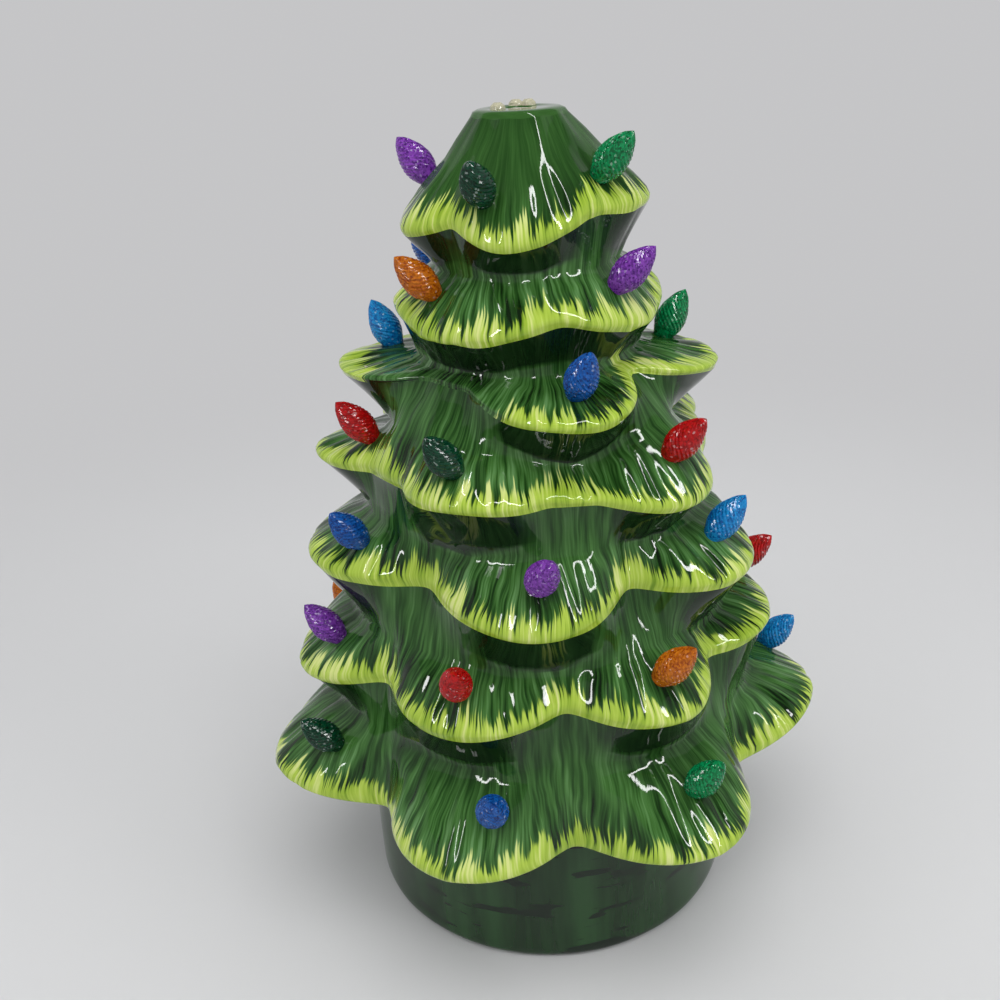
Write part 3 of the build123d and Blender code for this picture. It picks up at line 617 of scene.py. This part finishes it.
def step_between(tree, value, low, high):
    """0 below low, 1 above high, smooth between."""
    inputs = {"Value": value, "From Min": low, "From Max": high}
    return node(tree, "MapRange", inputs, interpolation_type="SMOOTHSTEP").outputs[0]


def spread(tree, value, low, high, start, end):
    """Goes from start to end while the value goes from low to high, and no further."""
    inputs = {"Value": value, "From Min": low, "From Max": high, "To Min": start, "To Max": end}
    return node(tree, "MapRange", inputs).outputs[0]


def ramp(tree, value, *stops):
    made = node(tree, "ValToRGB", {"Fac": value})
    elements = made.color_ramp.elements
    while len(elements) < len(stops):
        elements.new(0.5)
    for element, (place, colour) in zip(elements, stops):
        element.position = place
        element.color = (*colour, 1.0)
    return made.outputs["Color"]


def blend(tree, share, first, second):
    made = node(tree, "Mix", {0: share}, data_type="RGBA")
    for index, value in ((6, first), (7, second)):
        if isinstance(value, bpy.types.NodeSocket):
            tree.links.new(value, made.inputs[index])
        else:
            made.inputs[index].default_value = (*value, 1.0)
    return made.outputs[2]


def stretched_noise(tree, vector, across, along, **inputs):
    """Noise drawn out along the second axis, such as brush strokes."""
    scaled = node(tree, "Mapping", {"Vector": vector, "Scale": (across, along, 1.0)}).outputs[0]
    return node(tree, "TexNoise", {"Vector": scaled, "Scale": 1.0, **inputs}).outputs["Fac"]


def weighted(tree, *pairs):
    """Sum of values, each times its weight."""
    total = calc(tree, "MULTIPLY", *pairs[0])
    for value, weight in pairs[1:]:
        total = calc(tree, "MULTIPLY_ADD", value, weight, total)
    return total


def bump(tree, height, strength, distance):
    return node(tree, "Bump", {"Height": height, "Strength": strength, "Distance": distance}).outputs[0]


def new_material(name, **values):
    """A material with one Principled shader whose plain numbers are set."""
    material = bpy.data.materials.new(name)
    material.use_nodes = True
    shader = material.node_tree.nodes["Principled BSDF"]
    for key, value in values.items():
        shader.inputs[key.replace("_", " ")].default_value = value
    return material, material.node_tree, shader


def object_coordinates(tree):
    return node(tree, "TexCoord").outputs["Object"]


def glaze_material():
    """Deep green glaze in brush strokes, with a ragged lime band along the rims, and painted shade on the
    undersides and towards the necks.
    """
    material, tree, shader = new_material("tree_glaze", Roughness=0.04, IOR=1.5, Specular_IOR_Level=0.3)
    strokes = node(tree, "UVMap", uv_map="strokes").outputs[0]
    up = node(tree, "SeparateXYZ", {0: strokes}).outputs[1]
    rims = node(tree, "SeparateXYZ", {0: node(tree, "UVMap", uv_map="rims").outputs[0]})
    band, tilt = rims.outputs[0], rims.outputs[1]
    drift = node(tree, "TexNoise", {"Vector": strokes, "Scale": 55.0, "Detail": 1.0}).outputs["Color"]
    warped = node(tree, "VectorMath", {0: drift, 1: (0.005, 0.0, 0.0), 2: strokes},
                  operation="MULTIPLY_ADD").outputs[0]
    hair = stretched_noise(tree, warped, 1100, 45, Detail=1.0)
    fine = stretched_noise(tree, warped, 420, 36, Detail=1.5)
    broad = stretched_noise(tree, warped, 130, 26, Detail=2.0)
    patch = stretched_noise(tree, warped, 30, 26, Detail=1.0)

    tone = weighted(tree, (hair, 0.22), (fine, 0.38), (broad, 0.22), (patch, 0.18))
    height = node(tree, "SeparateXYZ", {0: object_coordinates(tree)}).outputs[2]
    plain = calc(tree, "MULTIPLY", step_between(tree, height, *CROWN_PLAIN), PLAIN_SHARE)
    tone = calc(tree, "MULTIPLY_ADD", calc(tree, "SUBTRACT", PLAIN_TONE, tone), plain, tone)
    calm = calc(tree, "MULTIPLY", step_between(tree, up, *CALM_RISE), CALM_SHARE)
    tone = calc(tree, "MULTIPLY_ADD", calc(tree, "SUBTRACT", CALM_TONE, tone), calm, tone)
    green = ramp(tree, tone, (0.40, (0.003, 0.014, 0.002)), (0.47, (0.018, 0.067, 0.011)),
                 (0.53, (0.052, 0.152, 0.032)), (0.60, (0.122, 0.270, 0.092)))
    # Painted shade: the green darkens towards the neck of each tier and up the wall under the rim above,
    # where the rims cast shadow, less so on the crown's plain coat
    shade = calc(tree, "SUBTRACT", step_between(tree, up, 0.026, 0.055), plain)
    green = blend(tree, calc(tree, "MULTIPLY", shade, 0.45, clamp=True), green, (0.004, 0.018, 0.004))
    # Painted shade: faces that tilt downwards, the undersides of the rims, are darkened
    under = step_between(tree, tilt, -0.10, -0.38)
    green = blend(tree, calc(tree, "MULTIPLY", under, 0.9), green, (0.003, 0.013, 0.004))

    reach = calc(tree, "ADD", band, spread(tree, fine, 0.42, 0.68, 0.0, 0.006))
    reach = calc(tree, "ADD", reach, spread(tree, broad, 0.40, 0.64, 0.0, 0.006))
    reach = calc(tree, "ADD", reach, spread(tree, hair, 0.3, 0.7, -0.004, 0.004))
    lime_share = step_between(tree, calc(tree, "SUBTRACT", reach, up), -0.002, 0.002)
    lime_share = calc(tree, "MULTIPLY", lime_share, step_between(tree, up, -0.0024, -0.0012))
    lime_tone = weighted(tree, (hair, 0.22), (fine, 0.35), (broad, 0.2), (patch, 0.23))
    lime = ramp(tree, lime_tone, (0.40, (0.16, 0.29, 0.015)), (0.47, (0.33, 0.48, 0.045)),
                (0.53, (0.44, 0.59, 0.08)), (0.60, (0.66, 0.73, 0.26)))
    tree.links.new(blend(tree, lime_share, green, lime), shader.inputs["Base Color"])
    relief = weighted(tree, (hair, 0.3), (fine, 0.7))
    tree.links.new(bump(tree, relief, 0.05, 0.0006), shader.inputs["Normal"])
    return material


def bisque_material():
    """Bare fired clay inside the tree and on its foot."""
    material, tree, shader = new_material("bare_bisque", Roughness=0.85)
    speckle = node(tree, "TexNoise", {"Vector": object_coordinates(tree), "Scale": 420.0, "Detail": 4.0})
    cloud = node(tree, "TexNoise", {"Vector": object_coordinates(tree), "Scale": 30.0})
    colour = ramp(tree, cloud.outputs["Fac"], (0.3, (0.62, 0.57, 0.48)), (0.7, (0.74, 0.70, 0.61)))
    tree.links.new(colour, shader.inputs["Base Color"])
    tree.links.new(bump(tree, speckle.outputs["Fac"], 0.3, 0.0004), shader.inputs["Normal"])
    return material


def drum_material():
    """Dark green glaze with faint upright strokes and a few short darker dashes that run round the drum.
    """
    material, tree, shader = new_material("drum_glaze", Roughness=0.09, IOR=1.5, Specular_IOR_Level=0.4)
    place = object_coordinates(tree)
    upright = node(tree, "Mapping", {"Vector": place, "Scale": (90.0, 90.0, 9.0)}).outputs[0]
    strokes = node(tree, "TexNoise", {"Vector": upright, "Scale": 1.0, "Detail": 4.0}).outputs["Fac"]
    colour = ramp(tree, strokes, (0.35, (0.006, 0.028, 0.006)), (0.65, (0.019, 0.068, 0.018)))
    # Short darker dashes, drawn out round the drum
    level = node(tree, "Mapping", {"Vector": place, "Scale": (34.0, 34.0, 150.0)}).outputs[0]
    dark_dashes = node(tree, "TexNoise", {"Vector": level, "Scale": 1.0, "Detail": 2.0}).outputs["Fac"]
    dark = calc(tree, "MULTIPLY", step_between(tree, dark_dashes, 0.585, 0.62), 0.85)
    colour = blend(tree, dark, colour, (0.002, 0.008, 0.003))
    tree.links.new(colour, shader.inputs["Base Color"])
    wave = node(tree, "TexNoise", {"Vector": place, "Scale": 45.0, "Detail": 1.0}).outputs["Fac"]
    tree.links.new(bump(tree, wave, 0.2, 0.0015), shader.inputs["Normal"])
    return material


# Deep and bright tone of each colour of bulb, and the pale tone towards which a few flakes are painted as
# glints
BULB_COLOURS = {
    "purple": ((0.07, 0.008, 0.18), (0.32, 0.075, 0.58)),
    "dark_green": ((0.0005, 0.014, 0.006), (0.001, 0.070, 0.030)),
    "green": ((0.001, 0.085, 0.024), (0.004, 0.36, 0.115)),
    "orange": ((0.32, 0.05, 0.001), (0.72, 0.21, 0.008)),
    "light_blue": ((0.002, 0.09, 0.36), (0.012, 0.36, 0.82)),
    "blue": ((0.001, 0.022, 0.16), (0.008, 0.14, 0.56)),
    "red": ((0.24, 0.001, 0.001), (0.64, 0.006, 0.008)),
}
PAINTED_GLINT = (0.85, 0.88, 0.90)


def bulb_material(colour):
    """Clear coloured plastic full of glitter flakes in deep and bright tones, with painted glints: the
    rarest flakes are painted towards a pale tone.
    """
    deep, bright = BULB_COLOURS[colour]
    material, tree, shader = new_material("bulb_" + colour, Roughness=0.1, IOR=1.46,
                                          Specular_IOR_Level=0.1, Transmission_Weight=0.3,
                                          Coat_Weight=0.25, Coat_Roughness=0.03)
    cells = node(tree, "TexVoronoi", {"Vector": object_coordinates(tree), "Scale": 1300.0})
    glitter = node(tree, "SeparateColor", {"Color": cells.outputs["Color"]}).outputs[0]
    # Painted glint: the rarest flakes go towards a pale tone instead of their own colour
    glint_tone = tuple(mix(low, high, 0.35) for low, high in zip(bright, PAINTED_GLINT))
    dim = tuple(mix(low, high, 0.35) for low, high in zip(deep, bright))
    colours = ramp(tree, glitter, (0.0, deep), (0.25, dim), (0.9, bright), (0.96, bright), (0.985, glint_tone))
    tree.links.new(colours, shader.inputs["Base Color"])
    tree.links.new(bump(tree, cells.outputs["Distance"], 0.15, 0.0003), shader.inputs["Normal"])
    return material


# Materials of the pieces that keep the shape of the solid model


def plastic(name, colour, roughness=0.42, **values):
    """Moulded plastic with a fine grain."""
    material, tree, shader = new_material(name, Base_Color=(*colour, 1.0), Roughness=roughness, **values)
    grain = node(tree, "TexNoise", {"Vector": object_coordinates(tree), "Scale": 2200.0, "Detail": 3.0})
    tree.links.new(bump(tree, grain.outputs["Fac"], 0.12, 0.0002), shader.inputs["Normal"])
    return material


def felt_material():
    """Short matted fibres."""
    material, tree, shader = new_material("felt", Roughness=0.95, Sheen_Weight=0.4)
    place = object_coordinates(tree)
    inputs = {"Vector": place, "Scale": 1500.0, "Detail": 5.0, "Distortion": 2.0}
    fibres = node(tree, "TexNoise", inputs).outputs["Fac"]
    colour = ramp(tree, fibres, (0.35, (0.006, 0.020, 0.009)), (0.65, (0.022, 0.060, 0.028)))
    tree.links.new(colour, shader.inputs["Base Color"])
    tree.links.new(bump(tree, fibres, 0.6, 0.0006), shader.inputs["Normal"])
    return material


def board_material():
    """Green solder mask over copper tracks."""
    material, tree, shader = new_material("board_laminate", Roughness=0.3)
    inputs = {"Vector": object_coordinates(tree), "Scale": 1.0, "Mortar Size": 0.0004,
              "Brick Width": 0.0062, "Row Height": 0.0028, "Color1": (0.006, 0.07, 0.02, 1.0),
              "Color2": (0.008, 0.09, 0.026, 1.0), "Mortar": (0.02, 0.16, 0.05, 1.0)}
    tracks = node(tree, "TexBrick", inputs)
    tree.links.new(tracks.outputs["Color"], shader.inputs["Base Color"])
    tree.links.new(bump(tree, tracks.outputs["Fac"], 0.3, 0.0001), shader.inputs["Normal"])
    return material


def steel_material(name, colour):
    """Plated steel with fine rolling marks."""
    material, tree, shader = new_material(name, Base_Color=(*colour, 1.0), Metallic=1.0)
    inputs = {"Vector": object_coordinates(tree), "Scale": (150.0, 150.0, 4000.0)}
    marks = node(tree, "Mapping", inputs).outputs[0]
    noise = node(tree, "TexNoise", {"Vector": marks, "Scale": 1.0, "Detail": 2.0}).outputs["Fac"]
    rough = node(tree, "MapRange", {"Value": noise, "To Min": 0.22, "To Max": 0.42}).outputs[0]
    tree.links.new(rough, shader.inputs["Roughness"])
    return material


def wire_material():
    """One red and one black sleeve."""
    material, tree, shader = new_material("wire_sleeve", Roughness=0.45)
    side = node(tree, "SeparateXYZ", {0: object_coordinates(tree)}).outputs[0]
    right = calc(tree, "GREATER_THAN", side, 0.0)
    colour = ramp(tree, right, (0.0, (0.012, 0.012, 0.012)), (1.0, (0.42, 0.012, 0.01)))
    tree.links.new(colour, shader.inputs["Base Color"])
    return material


def cell_material():
    """Plain two-tone sleeve between bare steel ends."""
    material, tree, shader = new_material("cell_wrap", Roughness=0.28)
    along = node(tree, "SeparateXYZ", {0: object_coordinates(tree)}).outputs[0]
    share = calc(tree, "MULTIPLY_ADD", along, 19.8, 0.5)
    colour = ramp(tree, share, (0.0, (0.55, 0.55, 0.56)), (0.035, (0.015, 0.015, 0.018)),
                  (0.66, (0.38, 0.40, 0.42)), (0.965, (0.55, 0.55, 0.56)))
    colour.node.color_ramp.interpolation = "CONSTANT"
    ends = step_between(tree, calc(tree, "ABSOLUTE", along), 0.0231, 0.0234)
    tree.links.new(colour, shader.inputs["Base Color"])
    tree.links.new(ends, shader.inputs["Metallic"])
    return material


def glue_material():
    """Clear dried glue, uneven and a little yellow."""
    material, tree, shader = new_material("dried_glue", Base_Color=(0.92, 0.87, 0.62, 1.0),
                                          Roughness=0.12, IOR=1.47, Transmission_Weight=0.45)
    lumps = node(tree, "TexNoise", {"Vector": object_coordinates(tree), "Scale": 500.0, "Detail": 2.0})
    tree.links.new(bump(tree, lumps.outputs["Fac"], 0.6, 0.002), shader.inputs["Normal"])
    return material


def paint_kept_nodes():
    """Materials of the CAD pieces that stay as they are."""
    white = plastic("housing_plastic", (0.80, 0.80, 0.77))
    steel = steel_material("contact_steel", (0.62, 0.61, 0.58))
    board = board_material()
    cell = cell_material()
    black = plastic("switch_case", (0.014, 0.014, 0.015), 0.38)
    finish = {
        "felt_ring": felt_material(),
        "light_housing": white,
        "retaining_ring": white,
        "electronics_cover": white,
        "battery_door": white,
        "led_post": plastic("post_plastic", (0.84, 0.84, 0.82), 0.36),
        "led_board": board,
        "circuit_board": board,
        "leds": plastic("led_lens", (0.93, 0.90, 0.72), 0.12, Transmission_Weight=0.6),
        "diffuser": plastic("diffuser_plastic", (0.88, 0.87, 0.83), 0.55, Transmission_Weight=0.35),
        "led_wires": wire_material(),
        "switch_body": black,
        "switch_slider": black,
        "cover_screws": steel_material("screw_steel", (0.50, 0.50, 0.51)),
        "battery_contacts": steel,
        "topper_glue": glue_material(),
    }
    finish.update({f"battery_cell_{number}": cell for number in (1, 2, 3)})
    for name, material in finish.items():
        nodes[name].data.materials.clear()
        nodes[name].data.materials.append(material)


# Stage: a pale bowl for floor and backdrop, lamps and camera

STAGE_RADIUS = 2600.0
STAGE_CURVE = 900.0
STAGE_WALL = 1500.0
STAGE_FLOOR = (0.5, 200.0, 600.0)
STAGE_COLUMNS = 96
STAGE_CURVE_ROWS = 13
# metres from the tree over which the lit floor gives way to the even tone
STAGE_FADE = (0.25, 0.9)
LAMP_AIM = (0.0, 0.0, 200.0)
# level of the room's light, and of its mirror image in glossy pieces
ROOM_LIGHT = 0.8
ROOM_MIRRORED = 0.18


def make_stage():
    arc = np.radians(np.linspace(0, 90, STAGE_CURVE_ROWS))
    flat = STAGE_RADIUS - STAGE_CURVE
    outline = [(radius, 0.0) for radius in STAGE_FLOOR]
    outline += [(flat + STAGE_CURVE * math.sin(a), STAGE_CURVE - STAGE_CURVE * math.cos(a)) for a in arc]
    outline.append((STAGE_RADIUS, STAGE_CURVE + STAGE_WALL))
    radius, height = np.array(outline).T
    azimuth = np.linspace(-180, 180, STAGE_COLUMNS, endpoint=False)
    full = np.ones((len(radius), len(azimuth)))
    points = polar(radius[:, None] * full, azimuth, height[:, None] * full)
    bowl = mesh_object("backdrop", points.reshape(-1, 3), grid_faces(len(radius), len(azimuth), False))
    bowl.data.materials.append(backdrop_material())


def backdrop_material():
    """Pale floor that keeps the shadow, and a backdrop that shows at one even tone, in glints too."""
    material, tree, shader = new_material("backdrop", Base_Color=(0.68, 0.68, 0.685, 1.0), Roughness=0.9)
    place = node(tree, "NewGeometry").outputs["Position"]
    away = node(tree, "VectorMath", {0: place}, operation="LENGTH").outputs["Value"]
    rays = node(tree, "LightPath").outputs
    seen = calc(tree, "MAXIMUM", rays["Is Camera Ray"], rays["Is Glossy Ray"])
    seen = calc(tree, "MAXIMUM", seen, rays["Is Transmission Ray"])
    share = calc(tree, "MULTIPLY", seen, step_between(tree, away, *STAGE_FADE))
    glow = node(tree, "Emission", {"Color": (0.56, 0.56, 0.57, 1.0)}).outputs[0]
    mixed = node(tree, "MixShader", {0: share, 1: shader.outputs[0], 2: glow}).outputs[0]
    tree.links.new(mixed, tree.nodes["Material Output"].inputs["Surface"])
    return material


def add_lamp(name, place, size, power, mirrored):
    """Lamp that faces the tree. It gives soft light, or only its mirror image if mirrored is true."""
    data = bpy.data.lights.new(name, "AREA")
    data.shape = "RECTANGLE"
    data.size, data.size_y = (side * MM for side in size)
    data.energy = power
    lamp = bpy.data.objects.new(name, data)
    bpy.context.scene.collection.objects.link(lamp)
    lamp.location = Vector(place) * MM
    aim = Vector(LAMP_AIM) * MM - lamp.location
    lamp.rotation_euler = aim.to_track_quat("-Z", "Y").to_euler()
    lamp.visible_glossy = mirrored
    lamp.visible_diffuse = not mirrored


def make_lights():
    add_lamp("soft_overhead", (100, -700, 1700), (1300, 1100), 12.0, False)
    add_lamp("soft_right", (1400, -700, 900), (800, 1000), 6.0, False)
    add_lamp("soft_left", (-1400, -900, 900), (800, 1000), 4.0, False)
    add_lamp("ceiling_strip", (430, -420, 1350), (80, 1000), 7.6, True)
    add_lamp("strip_left", (-620, -760, 820), (80, 700), 5.4, True)
    add_lamp("strip_right", (760, -640, 820), (80, 700), 5.4, True)
    world = bpy.data.worlds.new("soft_room")
    world.use_nodes = True
    tree = world.node_tree
    background = tree.nodes["Background"]
    background.inputs["Color"].default_value = (0.94, 0.95, 0.96, 1.0)
    mirrored = node(tree, "LightPath").outputs["Is Glossy Ray"]
    strength = calc(tree, "MULTIPLY_ADD", mirrored, ROOM_MIRRORED - ROOM_LIGHT, ROOM_LIGHT)
    tree.links.new(strength, background.inputs["Strength"])
    bpy.context.scene.world = world


def make_camera():
    data = bpy.data.cameras.new("camera")
    data.sensor_width = SENSOR
    data.lens = FOCAL_SHARE * SENSOR
    camera = bpy.data.objects.new("camera", data)
    bpy.context.scene.collection.objects.link(camera)
    aim = Euler((math.radians(90 - CAMERA_PITCH), 0, 0)).to_matrix().to_4x4()
    roll = Matrix.Rotation(math.radians(CAMERA_ROLL), 4, "Z")
    camera.matrix_world = Matrix.Translation(Vector(CAMERA_PLACE) * MM) @ aim @ roll
    bpy.context.scene.camera = camera


make_shell()
make_bulbs()
make_drum()
paint_kept_nodes()
make_stage()
make_lights()
make_camera()
bpy.context.scene.view_settings.view_transform = "Standard"

bpy.context.view_layer.update()
